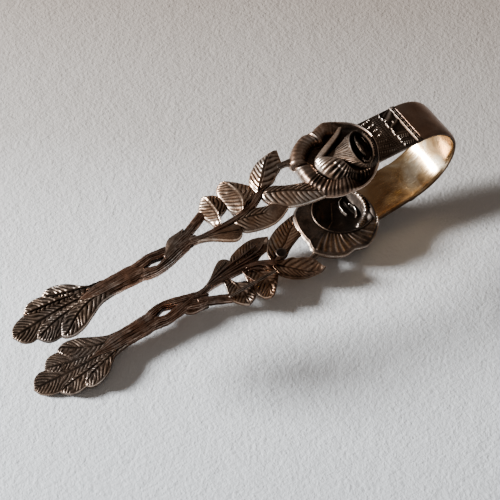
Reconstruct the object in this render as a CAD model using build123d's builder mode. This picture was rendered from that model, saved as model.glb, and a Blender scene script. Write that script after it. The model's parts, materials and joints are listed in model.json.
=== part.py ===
"""Rose-pattern sugar or ice tongs: two cast openwork arms on one sprung bow.

The tongs lie on their lower arm, as on a table. +X runs from the claws to the bow, +Z is up
and the origin is under the middle of the tongs, on the table. The upper arm is the lower arm
turned half a turn about the tongs' long axis, so one set of dimensions makes both.

Each arm is laid out in its own plan: x from the tip of the claw towards the bow, y across
the arm, and height from the long axis out to the middle of the metal.
"""
from build123d import *
import math
import os

# ---- driving dimensions (mm and degrees) ---------------------------------------------------
axis_to_claw = 8.0            # height of the claw's mid-plane above the long axis
stem_start = 17.0             # where the claw ends and the rising stem begins
stem_slope = 3.3              # rise of the stem and leaves towards the bow
rose_centre = (80.8, 0.4)     # plan position of the rose
axis_to_rose = 11.5           # height of the rose's mid-plane
rose_radius = 9.7
rose_relief = 4.6             # how far the rose stands out of its mid-plane
bow_centre_x = 98.9           # centre of the bow's arc
bow_radius = 11.2             # to the middle of the strip
bow_splay = 4.3               # how much each strap opens out from the bow towards its rose
strap_width = 11.4
strap_thickness = 1.3
claw_thickness = 1.3
leaf_thickness = 1.4
stem_thickness = 2.4
vine_thickness = 2.2
vine_width = 1.7
bar_width = 1.5
bar_height = 0.45
pad_radius = 1.1
pad_height = 0.5
dish_thickness = 1.1          # metal of the rose's outer petals
heart_offset = (3.4, -2.4)    # the rose's heart leans to the bow and to the near side
heart_radius = 2.2
bud_radius = 4.3
petal_gap = 0.05              # seam between one ring of petals and the next

# ---- how the tongs rest: the lower claw's tip and the lower rose's bud touch the table ------
claw_outer = axis_to_claw + claw_thickness / 2
rise = axis_to_rose - claw_outer
rest_tilt = math.degrees(
    math.asin(rose_relief / math.hypot(rose_centre[0], rise))
    + math.atan(rise / rose_centre[0])
)
tilt = math.radians(rest_tilt)
tip_overhang = claw_outer * math.sin(tilt)
bow_outer_radius = bow_radius + strap_thickness / 2
row_length = bow_centre_x * math.cos(tilt) + bow_outer_radius + tip_overhang
axis_start = Vector(
    tip_overhang - row_length / 2,
    0,
    claw_outer * math.cos(tilt),
)
long_axis = Vector(math.cos(tilt), 0, math.sin(tilt))
tongs = Plane(
    origin=axis_start,
    x_dir=long_axis,
    z_dir=Vector(-math.sin(tilt), 0, math.cos(tilt)),
)

os.makedirs("parts", exist_ok=True)


def arm_plane(arm, x, y, height, slope=0.0):
    """Plane at plan point (x, y) of an arm, its normal pointing away from the other arm."""
    half_turn = 0 if arm == "upper" else 180
    here = tongs.location * Rot(X=half_turn) * Pos(x, y, height) * Rot(Y=-slope)
    return Plane(here)


def claw_plane(arm):
    return arm_plane(arm, 0, 0, axis_to_claw)


def stem_plane(arm):
    """Mid-plane of the stem and the leaves, with its origin still above the claw's tip."""
    start_height = axis_to_claw - stem_start * math.tan(math.radians(stem_slope))
    return arm_plane(arm, 0, 0, start_height, stem_slope)


def rose_plane(arm):
    """Mid-plane of the rose, level with the table when the tongs lie down."""
    return arm_plane(arm, rose_centre[0], rose_centre[1], axis_to_rose, rest_tilt)


def strap_plane(arm):
    """Mid-plane of the strap, at the end of the bow's arc, x pointing to the bow."""
    splay = math.radians(bow_splay)
    end_x = bow_centre_x + bow_radius * math.sin(splay)
    end_height = bow_radius * math.cos(splay)
    return arm_plane(arm, end_x, 0, end_height, -bow_splay)


def finish(name, part):
    """Label a piece, keeping its one main solid, and write it."""
    piece = part.solids().sort_by(SortBy.VOLUME)[-1]
    piece.label = name
    export_step(piece, f"parts/{name}.step")
    return piece


def side_point(base, tip, bulge):
    """Point beside the middle of the line from base to tip, bulge mm to its left."""
    along = Vector(tip[0] - base[0], tip[1] - base[1])
    across = Vector(-along.Y, along.X).normalized()
    middle = Vector(base[0], base[1]) + along * 0.5 + across * bulge
    return (middle.X, middle.Y)


def blade(name, plane, base, tip, left, right, thickness, neighbours=()):
    """Leaf blade between two arcs from base to tip, trimmed back to its neighbours."""
    with BuildPart() as leaf:
        with BuildSketch(plane):
            with BuildLine():
                ThreePointArc(base, side_point(base, tip, left), tip)
                ThreePointArc(tip, side_point(base, tip, -right), base)
            make_face()
        extrude(amount=thickness / 2, both=True)
        for neighbour in neighbours:
            add(neighbour, mode=Mode.SUBTRACT)
    return finish(name, leaf.part)


def runner(name, plane, route, width, thickness, neighbours=()):
    """Twig of even width along a smooth route, trimmed back to its neighbours."""
    with BuildPart() as twig:
        with BuildSketch(plane):
            with BuildLine():
                Spline(*route)
            trace(line_width=width)
        extrude(amount=thickness / 2, both=True)
        for neighbour in neighbours:
            add(neighbour, mode=Mode.SUBTRACT)
    return finish(name, twig.part)


def make_stem(arm):
    """Stem from the claw to the fork, with its lens-shaped slot."""
    with BuildPart() as stem:
        with BuildSketch(stem_plane(arm)):
            with BuildLine():
                far_edge = Spline((17.0, 3.9), (22.0, 3.5), (31.0, 3.7), (37.0, 3.4), (42.5, 3.6))
                near_edge = Spline((43.5, 0.0), (37.0, -1.5), (31.0, -1.3), (22.0, -0.2), (17.0, -0.3))
                Line(far_edge @ 1, near_edge @ 0)
                Line(near_edge @ 1, far_edge @ 0)
            make_face()
            with BuildLine():
                slot_ends = ((31.2, 1.4), (36.2, 0.9))
                ThreePointArc(slot_ends[0], side_point(*slot_ends, 0.9), slot_ends[1])
                ThreePointArc(slot_ends[1], side_point(*slot_ends, -0.8), slot_ends[0])
            make_face(mode=Mode.SUBTRACT)
        extrude(amount=stem_thickness / 2, both=True)
    return finish(f"{arm}_stem", stem.part)


def make_claw(arm, stem):
    """Five overlapping leaflets that spread from the end of the stem."""
    plane = claw_plane(arm)
    tip_leaf = blade(f"{arm}_claw_leaf_tip", plane, (18.5, 2.2), (0, 2.1), 2.6, 2.9,
                     claw_thickness, [stem])
    far_inner = blade(f"{arm}_claw_leaf_far_inner", plane, (18.0, 2.8), (3.9, 6.4), 2.6, 3.0,
                      claw_thickness, [stem, tip_leaf])
    blade(f"{arm}_claw_leaf_far_outer", plane, (21.0, 2.8), (10.2, 8.8), 2.2, 2.2,
          claw_thickness, [stem, tip_leaf, far_inner])
    near_inner = blade(f"{arm}_claw_leaf_near_inner", plane, (18.0, 1.6), (4.2, -2.1), 2.4, 2.2,
                       claw_thickness, [stem, tip_leaf])
    blade(f"{arm}_claw_leaf_near_outer", plane, (21.0, 1.2), (8.9, -4.1), 2.2, 1.6,
          claw_thickness, [stem, tip_leaf, near_inner])


def make_vine(arm, stem):
    """Twigs, leaves and buds of the openwork between the stem and the rose."""
    plane = stem_plane(arm)
    vine = runner(f"{arm}_vine", plane,
                  [(43.0, 1.0), (46.5, 0.3), (51.0, 0.0), (56.0, 0.2), (59.5, 1.4), (62.0, 2.6)],
                  vine_width, vine_thickness, [stem])
    far_twig = runner(f"{arm}_far_twig", plane, [(41.5, 2.6), (45.0, 3.8), (48.3, 5.6)],
                      vine_width, vine_thickness, [stem, vine])
    wood = [stem, vine, far_twig]
    bract_plane = plane.offset(stem_thickness / 2 + pad_height / 2)
    blade(f"{arm}_bract", bract_plane, (35.8, 0.2), (42.2, 3.4), 1.1, 0.9, pad_height)
    bud = blade(f"{arm}_bud", plane, (45.5, 0.2), (53.4, -4.2), 1.2, 1.3, leaf_thickness, wood)
    small_leaf = blade(f"{arm}_small_leaf", plane, (49.7, 0.4), (50.9, 9.2), 2.4, 2.7,
                       leaf_thickness, wood)
    upright_leaf = blade(f"{arm}_upright_leaf", plane, (55.8, 0.2), (56.0, 9.9), 2.5, 4.2,
                         leaf_thickness, wood + [small_leaf])
    long_leaf = blade(f"{arm}_long_leaf", plane, (51.5, -0.6), (64.8, -4.1), 1.6, 2.9,
                      leaf_thickness, wood + [bud])
    shoulder_leaf = blade(f"{arm}_shoulder_leaf", plane, (61.2, 2.4), (71.3, 10.0), 2.9, 1.4,
                          leaf_thickness, wood + [upright_leaf])
    envelope = rose_envelope(arm)
    blade(f"{arm}_under_leaf", plane, (61.8, 2.2), (74.6, -6.6), 2.9, 2.4,
          leaf_thickness, wood + [shoulder_leaf, long_leaf, envelope])
    runner(f"{arm}_rose_twig", plane, [(69.2, 6.6), (71.2, 6.2), (74.2, 4.6)], vine_width,
           vine_thickness, [shoulder_leaf, envelope])


def rose_envelope(arm):
    """Round space that the rose fills, for trimming what runs up to it."""
    with BuildPart() as envelope:
        with BuildSketch(rose_plane(arm)):
            Circle(rose_radius)
        extrude(amount=rose_relief, both=True)
    return envelope.part


def make_pad(arm):
    """Round pad left by the casting's feed, on the inner face where the leaves join."""
    with BuildPart() as pad:
        with BuildSketch(stem_plane(arm).offset(-vine_thickness / 2 - pad_height)):
            with Locations((64.4, 1.7)):
                Circle(pad_radius)
        extrude(amount=pad_height)
    finish(f"{arm}_cast_pad", pad.part)


def turned(plane, profile):
    """Solid of revolution about a plane's normal, from a closed profile of (radius, height)."""
    section = Plane(origin=plane.origin, x_dir=plane.x_dir, z_dir=-plane.y_dir)
    with BuildPart() as ring:
        with BuildSketch(section):
            with BuildLine():
                Polyline(*profile, close=True)
            make_face()
        revolve(axis=Axis(plane.origin, plane.z_dir))
    return ring.part


def make_rose(arm):
    """Rose: a dish of rolled outer petals, a folded petal, and a bud round its heart."""
    plane = rose_plane(arm)
    lean = arm_plane(arm, rose_centre[0] + heart_offset[0], rose_centre[1] + heart_offset[1],
                     axis_to_rose + heart_offset[0] * math.tan(tilt), rest_tilt)
    floor = dish_thickness / 2
    roll_top = 2.3
    roll_radius = 0.86 * rose_radius
    roll_root = 0.70 * rose_radius
    dish = turned(plane, [
        (0, -floor), (roll_root, -floor), (roll_radius, roll_top - dish_thickness),
        (0.96 * rose_radius, -floor), (rose_radius, floor), (roll_radius, roll_top),
        (roll_root, floor), (0, floor)])
    finish(f"{arm}_rose_outer_petals", dish)

    heart = turned(lean, [
        (0, floor), (heart_radius, floor), (0.7 * heart_radius, rose_relief), (0, rose_relief)])
    finish(f"{arm}_rose_heart", heart)

    inner = heart_radius + petal_gap
    with BuildPart() as bud:
        add(turned(lean, [
            (inner, floor), (bud_radius, floor), (0.85 * bud_radius, rose_relief),
            (0.70 * bud_radius, rose_relief)]))
        add(dish, mode=Mode.SUBTRACT)
    finish(f"{arm}_rose_bud_petals", bud.part)

    with BuildPart() as folded_petal:
        with BuildSketch(plane.offset(floor)):
            with BuildLine():
                far_corner = (1.0, 5.2)
                near_corner = (-1.6, -5.6)
                apex = (-6.2, -0.4)
                ThreePointArc(far_corner, side_point(far_corner, apex, 0.5), apex)
                ThreePointArc(apex, side_point(apex, near_corner, 0.6), near_corner)
                Line(near_corner, far_corner)
            make_face()
            with Locations(heart_offset):
                Circle(bud_radius + petal_gap, mode=Mode.SUBTRACT)
        extrude(amount=rose_relief - 1.4, taper=8)
        add(dish, mode=Mode.SUBTRACT)
    finish(f"{arm}_rose_folded_petal", folded_petal.part)


def make_strap(arm):
    """Flat strap from under the rose to the bow, and the raised bar where they meet."""
    plane = strap_plane(arm)
    strap_length = 16.0
    with BuildPart() as strap:
        with BuildSketch(plane):
            with Locations((-strap_length / 2, 0)):
                Rectangle(strap_length, strap_width)
        extrude(amount=strap_thickness / 2, both=True)
        add(rose_envelope(arm), mode=Mode.SUBTRACT)
    finish(f"{arm}_strap", strap.part)

    with BuildPart() as bar:
        with BuildSketch(plane.offset(strap_thickness / 2)):
            with Locations((-bar_width / 2, 0)):
                Rectangle(bar_width, strap_width)
        extrude(amount=bar_height)
    finish(f"{arm}_strap_bar", bar.part)


def make_bow():
    """Plain spring strip, bent in an arc that joins the two straps."""
    centre = tongs.from_local_coords(Vector(bow_centre_x, 0, 0))
    section = Plane(origin=centre, x_dir=long_axis, z_dir=Vector(0, -1, 0))
    half_sweep = 90 - bow_splay
    with BuildPart() as bow:
        with BuildSketch(section):
            with BuildLine():
                CenterArc((0, 0), bow_radius, -half_sweep, 2 * half_sweep)
            trace(line_width=strap_thickness)
        extrude(amount=strap_width / 2, both=True)
    finish("bow_spring", bow.part)


for arm_name in ("lower", "upper"):
    arm_stem = make_stem(arm_name)
    make_claw(arm_name, arm_stem)
    make_vine(arm_name, arm_stem)
    make_pad(arm_name)
    make_rose(arm_name)
    make_strap(arm_name)
make_bow()
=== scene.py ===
"""Looks of the rose-pattern tongs: every casting element as a relief mesh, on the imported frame.

Shapes are laid out in an arm's own plan, in millimetres: x from the tip of the claw to the
bow, y across the arm, z out of the middle of the metal. Both arms come from the same shapes;
the lower arm is the upper one turned half a turn about the tongs' long axis.
"""
import json
import math

import bmesh
import bpy
import numpy as np
from mathutils import Matrix, Vector


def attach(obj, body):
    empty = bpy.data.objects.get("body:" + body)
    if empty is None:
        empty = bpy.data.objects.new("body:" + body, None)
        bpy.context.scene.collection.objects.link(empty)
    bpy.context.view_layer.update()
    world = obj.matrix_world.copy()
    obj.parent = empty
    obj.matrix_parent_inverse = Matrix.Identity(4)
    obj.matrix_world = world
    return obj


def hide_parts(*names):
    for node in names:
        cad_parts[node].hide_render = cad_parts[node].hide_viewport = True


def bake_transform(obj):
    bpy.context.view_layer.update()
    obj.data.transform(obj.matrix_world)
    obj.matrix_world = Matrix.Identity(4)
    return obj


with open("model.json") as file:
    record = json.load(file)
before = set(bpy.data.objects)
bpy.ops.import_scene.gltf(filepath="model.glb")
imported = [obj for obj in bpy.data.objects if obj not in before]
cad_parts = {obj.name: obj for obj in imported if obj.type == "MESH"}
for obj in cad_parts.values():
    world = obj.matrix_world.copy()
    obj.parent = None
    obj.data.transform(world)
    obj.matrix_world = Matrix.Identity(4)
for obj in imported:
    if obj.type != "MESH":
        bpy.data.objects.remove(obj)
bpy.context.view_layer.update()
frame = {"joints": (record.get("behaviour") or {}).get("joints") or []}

MM = 0.001
HINGE_X = 106.0                       # plan x of the squeeze joint
REST_TILT = math.radians(5.2817)      # how far the long axis rises from the table
ROSE = (80.8, 0.4)                    # plan position of the rose
ROSE_HEIGHT = 11.5
STRAP_WIDTH = 11.4
STRAP_THICKNESS = 1.3
BOW_CENTRE_X = 98.9
BOW_RADIUS = 11.2
BOW_SPLAY = math.radians(4.3)         # how far the straps open towards the claws
BOW_START_X = BOW_CENTRE_X + BOW_RADIUS * math.sin(BOW_SPLAY)

# height of the middle of the metal above the long axis, along the arm
MID_X = (-2, 0, 8, 17, 25, 40, 60, 76, 81, 88, 99.7, 112)
MID_Z = (8.1, 8.05, 8.0, 8.1, 8.45, 9.4, 10.5, 11.35, 11.6, 12.0, 11.17, 10.3)

hinge = Vector(frame["joints"][0]["pos_m"])
long_axis = Vector((math.cos(REST_TILT), 0, math.sin(REST_TILT)))
up_axis = Vector((-math.sin(REST_TILT), 0, math.cos(REST_TILT)))
axis_start = hinge - HINGE_X * MM * long_axis


def arm_matrix(arm):
    """Matrix from an arm's plan, in millimetres, to the row frame, in metres."""
    turn = 1 if arm == "upper" else -1
    columns = (long_axis * MM, Vector((0, turn * MM, 0)), up_axis * turn * MM, axis_start)
    matrix = Matrix.Identity(4)
    for i, column in enumerate(columns):
        for j in range(3):
            matrix[j][i] = column[j]
    return matrix


# ---- small maths helpers ----
# the same heights, blurred along the arm, every half millimetre
SMOOTH_X = np.arange(-4, 114, 0.5)
_kernel = np.exp(-0.5 * (np.arange(-8, 9) / 4.0) ** 2)
_padded = np.interp(np.arange(-8, 118, 0.5), MID_X, MID_Z)
SMOOTH_Z = np.convolve(_padded, _kernel / _kernel.sum(), mode="same")[8:8 + len(SMOOTH_X)]


def mid(x):
    """Height of the middle of the metal at plan x, smoothed along the arm."""
    return np.interp(x, SMOOTH_X, SMOOTH_Z)


def smooth(x, low, high):
    """Smooth step from 0 at low to 1 at high."""
    t = np.clip((x - low) / (high - low), 0, 1)
    return t * t * (3 - 2 * t)


def hump(x, centre, width):
    """Bell curve, 1 at the centre."""
    return np.exp(-((x - centre) / width) ** 2)


def line_gap(x, y, points):
    """Distance from every (x, y) to a line through the points."""
    gap = np.full(np.broadcast(x, y).shape, 1e9)
    for (ax, ay), (bx, by) in zip(points[:-1], points[1:]):
        length = (bx - ax) ** 2 + (by - ay) ** 2
        t = np.clip(((x - ax) * (bx - ax) + (y - ay) * (by - ay)) / length, 0, 1)
        gap = np.minimum(gap, np.hypot(x - ax - t * (bx - ax), y - ay - t * (by - ay)))
    return gap


def spline(points, count):
    """Evenly stepped Catmull-Rom curve through rows of points."""
    p = np.array(points, float)
    p = np.vstack([2 * p[0] - p[1], p, 2 * p[-1] - p[-2]])
    u = np.linspace(0, len(p) - 3 - 1e-9, count)
    i = u.astype(int)
    t = (u - i)[:, None]
    a, b, c, d = p[i], p[i + 1], p[i + 2], p[i + 3]
    return 0.5 * (2 * b + (c - a) * t + (2 * a - 5 * b + 4 * c - d) * t ** 2
                  + (3 * b - a - 3 * c + d) * t ** 3)


def wander(count, steps, size, rng):
    """Smooth random drift along a line."""
    knots = rng.normal(0, size, steps)
    return np.interp(np.linspace(0, steps - 1, count), np.arange(steps), knots)


# ---- meshes ----
class Shell:
    """Closed surface made of rings of points, with a wear value at every point."""

    def __init__(self):
        self.points = []
        self.faces = []
        self.second = []
        self.wear = []

    def rings(self, loops, wear, inner_from=None, second_ring=None):
        """Skin rings of equal length; loops is (rings, points, 3) in plan millimetres.

        Faces from ring point inner_from on, or from ring second_ring on, take the piece's
        second material.
        """
        n, m = loops.shape[:2]
        start = len(self.points)
        self.points += loops.reshape(-1, 3).tolist()
        self.wear += wear.reshape(-1).tolist()
        for i in range(n - 1):
            row = start + i * m
            for j in range(m):
                k = (j + 1) % m
                self.faces.append((row + j, row + k, row + m + k, row + m + j))
                behind = inner_from is not None and j >= inner_from
                self.second.append(behind or (second_ring is not None and i >= second_ring))
        for i in (0, n - 1):
            self.points.append(loops[i].mean(0).tolist())
            self.wear.append(float(wear[i].mean()))
            centre = len(self.points) - 1
            row = start + i * m
            self.faces += [(row + j, row + (j + 1) % m, centre) for j in range(m)]
            self.second += [second_ring is not None and i >= second_ring] * m
        return self


def bend_to_arm(points):
    """Lift plan points, whose z is measured from the metal's middle, to heights over the axis."""
    out = np.array(points, float)
    out[:, 2] += mid(out[:, 0])
    return out


def tilt_to_rose(points):
    """Place points given about the rose's centre on the arm."""
    out = np.array(points, float)
    out[:, 2] += ROSE_HEIGHT + out[:, 0] * math.tan(REST_TILT)
    out[:, 0] += ROSE[0]
    out[:, 1] += ROSE[1]
    return out


def add_piece(name, shell, matrix, material, body, nodes, place=bend_to_arm):
    """Make one visible piece from a shell, and let it ride in its node's stead."""
    mesh = bpy.data.meshes.new(name)
    points = place(shell.points)
    flat = np.c_[points, np.ones(len(points))] @ np.array(matrix).T
    mesh.from_pydata(flat[:, :3].tolist(), [], shell.faces)
    for one in material if isinstance(material, tuple) else (material,):
        mesh.materials.append(one)
    mesh.polygons.foreach_set("material_index", [int(value) for value in shell.second])
    bm = bmesh.new()
    bm.from_mesh(mesh)
    layer = bm.verts.layers.float.new("wear")
    for vert, value in zip(bm.verts, shell.wear):
        vert[layer] = value
    bmesh.ops.remove_doubles(bm, verts=bm.verts, dist=1e-6)
    bmesh.ops.recalc_face_normals(bm, faces=bm.faces)
    bm.to_mesh(mesh)
    bm.free()
    mesh.shade_smooth()
    piece = bpy.data.objects.new(name, mesh)
    bpy.context.scene.collection.objects.link(piece)
    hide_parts(*nodes)
    if body:
        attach(piece, body)
    return piece


def on_both_arms(name, shell, material, place=bend_to_arm):
    """Add the same piece to the lower and the upper arm."""
    for arm in ("lower", "upper"):
        add_piece(f"{arm}_{name}_look", shell, arm_matrix(arm), material,
                  f"{arm}_arm", [f"{arm}_{name}"], place)


# ---- leaves ----
INNER_RIM = 0.1                       # height of the border on the leaves' inner faces


def even(points, count, squeeze=1.4):
    """Smooth curve through the points, stepped by its length, closer together at the tip."""
    fine = spline(points, 400)
    run = np.r_[0, np.cumsum(np.hypot(*np.diff(fine[:, :2], axis=0).T))]
    s = 1 - (1 - np.linspace(0, 1, count)) ** squeeze
    return np.c_[[np.interp(s, run / run[-1], fine[:, k]) for k in range(fine.shape[1])]].T


def leaf(left, vein, right, seed, half=0.6, lift=0.0, roof=0.0, hollow=0.0, pitch=1.0,
         height=0.17, slant=0.8, groove=0.2, keel=0.0, rim=0.06, bare=0.0, drift=0.22,
         shine=0.0, n=150, m=44):
    """Leaf between two edges drawn from its base to its tip, with a vein and slanted ribs.

    The vein ends in the tip, which the edges leave out. roof raises the outer face over the
    vein and hollow does the same to the inner face; pitch is the step from rib to rib, slant
    how far a rib runs on towards the tip, and bare the share of the leaf, at its tip, that has
    no ribs. A pair is for the left and right halves.
    """
    # s runs from the base to the tip, w from the left edge to the right, a outward from the vein
    rng = np.random.default_rng(seed)
    s = (1 - (1 - np.linspace(0, 1, n)) ** 1.4)[:, None]
    w = np.sin(np.linspace(-math.pi / 2, math.pi / 2, m))[None, :]
    a = np.abs(w)

    def sided(pair):
        first, second = pair if isinstance(pair, tuple) else (pair, pair)
        return np.where(w < 0, first, second)

    def sided_drift(steps, size):
        return sided((wander(n, steps, size, rng)[:, None], wander(n, steps, size, rng)[:, None]))

    pitch, height, slant, roof, shine = [sided(v) for v in (pitch, height, slant, roof, shine)]
    left, vein, right = [even(p, n) for p in (left + vein[-1:], vein, right + vein[-1:])]
    reach = np.hypot(*np.diff(vein, axis=0).T).sum()
    side = np.where(w[..., None] < 0, left[:, None, :], right[:, None, :])
    plan = vein[:, None, :] + (side - vein[:, None, :]) * a[..., None]
    span = np.hypot(*(side - vein[:, None, :]).transpose(2, 0, 1))

    # slanted ribs, uneven in height, that stop short of the edge
    phase = (s * reach - slant * span * a ** 1.25) / pitch + sided_drift(16, drift)
    phase += sided((0.0, 0.37))
    ridge = 0.5 + 0.5 * np.cos(2 * math.pi * phase)
    ridge = 1 - (1 - ridge) ** 1.3
    uneven = np.clip(1 + sided_drift(26, 0.35), 0.35, 1.6)
    stop = 0.93 + 0.04 * np.clip(sided_drift(30, 1.0), -2, 1)
    inside = smooth(a, 0.03, 0.2) * (1 - smooth(a, stop - 0.14, stop)) * smooth(s, 0.02, 0.1)
    inside *= 1 - smooth(s, 0.93 - bare, 0.99 - bare * 0.8)
    relief = height * (ridge - 0.6) * inside * uneven
    fade = smooth(s, 0.0, 0.08) * (1 - smooth(s, 0.86 - bare, 0.98 - bare * 0.8))

    # the vein as a groove or a keel, and a raised border
    line = hump(a * span, 0, 0.15)
    relief += (keel * hump(a * span, 0, 0.13) - groove * line) * fade
    beside = 0.08 * (groove > 0) * hump(a * span, 0.38, 0.14)
    relief += (beside - 0.5 * keel * hump(a * span, 0.36, 0.12)) * fade
    border = hump(a * span, span - 0.14, 0.1)
    bars = (ridge - 0.55) * inside * uneven
    streaks = np.minimum(1, height / 0.12)
    wear = 0.36 + shine + 0.5 * bars * streaks + 0.16 * border
    wear += 0.4 * line * fade * ((keel > 0) - (groove > 0))
    wear -= 0.16 * smooth(a, 0.975, 0.995)

    # rounded edges, and the two faces
    edge = np.sqrt(1 - np.clip(a, 0, 1) ** np.clip(span / 0.22, 3, 14))
    edge *= np.sqrt(1 - np.abs(2 * s - 1) ** 26)
    peak = 1 - np.sqrt(a ** 2 + 0.02) / math.sqrt(1.02)
    size = np.minimum(1, span / 1.6)
    top = lift + half * edge + roof * peak * size + (relief + rim * border) * edge
    inward = relief * 0.85 * np.minimum(1, 0.17 / np.maximum(height, 0.01))
    bottom = lift - half * edge + hollow * peak * size - (inward + INNER_RIM * border) * edge
    outer = np.dstack([plan, top])
    inner = np.dstack([plan, bottom])[:, -2:0:-1]
    loops = np.concatenate([outer, inner], axis=1)
    behind = 0.40 + 0.32 * bars + 0.14 * border - 0.3 * line * (groove > 0) * fade
    # painted shade: the right half of a hollow inner face is darkened, dimming its highlights
    behind -= 0.2 * smooth(w, 0.55, 0.9) * (hollow > 0)
    values = np.concatenate([wear, behind[:, -2:0:-1]], axis=1)
    return loops, np.clip(values, 0, 1)


# five overlapping leaflets; the middle one lies lowest on both faces
claw_leaves = {
    "claw_leaf_tip": leaf(
        [(18.5, 1.3), (13, 0.3), (8, -0.4), (4, -0.7), (2.3, -0.8), (0.7, 0.1)],
        [(18.5, 2.6), (13, 2.9), (8, 2.8), (4, 2.5), (-0.5, 2.3)],
        [(18.5, 3.6), (13, 4.2), (8, 5.0), (4.3, 5.8), (2.0, 5.3), (0.3, 4.1)],
        1, half=0.45, pitch=(1.25, 1.05), slant=(1.1, 0.8), height=0.2),
    "claw_leaf_far_inner": leaf(
        [(18.5, 3.0), (14, 3.6), (10, 4.2), (7, 4.6), (5.2, 5.2)],
        [(18.5, 3.7), (14, 4.4), (10, 5.0), (7.5, 5.3), (5.2, 5.7), (4.0, 6.1)],
        [(18.5, 4.2), (14, 6.0), (11, 7.2), (9.2, 7.9), (7.4, 8.1), (5.5, 7.6)],
        2, half=0.6, pitch=(1.0, 1.2), slant=(0.8, 1.0), roof=0.25, height=(0.15, 0.26),
        shine=(0, 0.08)),
    "claw_leaf_far_outer": leaf(
        [(22.5, 3.2), (19, 3.4), (16, 3.9), (13, 4.7), (11, 5.6), (9.9, 6.6)],
        [(22.5, 3.6), (19, 4.0), (16.5, 4.7), (14, 5.4), (12, 6.1), (10.4, 7.0), (9.4, 7.8)],
        [(22.5, 3.9), (19, 4.6), (17.3, 5.8), (15.8, 7.2), (13.9, 8.3), (11.7, 8.8), (10.2, 8.5)],
        3, half=0.75, pitch=(1.15, 1.35), slant=(0.7, 1.2), roof=0.3, height=(0.15, 0.3),
        shine=(0, 0.1)),
    "claw_leaf_near_inner": leaf(
        [(17, -0.4), (13, -1.6), (10, -2.7), (8.0, -3.1), (6.3, -3.1), (4.9, -2.4)],
        [(17, 1.5), (12, 1.2), (9.3, 0.8), (7, 0.1), (5, -0.6), (3.7, -0.6)],
        [(17, 2.4), (13, 2.4), (10, 2.3), (7.6, 2.1), (5.9, 1.6), (4.7, 0.8)],
        4, half=0.6, pitch=(1.25, 1.0), slant=(1.2, 0.9), roof=0.15, height=0.2),
    "claw_leaf_near_outer": leaf(
        [(22.5, -0.5), (19.5, -0.8), (16.6, -2.2), (14, -3.6), (12, -4.2), (10.4, -4.3),
         (9.0, -3.8)],
        [(22.5, 0.6), (19, 0.9), (16.5, 0.5), (14.2, -0.4), (12.4, -1.5), (10.6, -2.8),
         (9.4, -3.4), (8.2, -2.9)],
        [(22.5, 1.4), (19, 1.9), (16.4, 2.0), (13, 1.5), (10.4, 0.4), (9.2, -1.0)],
        5, half=0.75, pitch=(1.35, 1.15), slant=(1.0, 1.1), roof=0.35, height=0.2, shine=(0.06, 0)),
}

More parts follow.
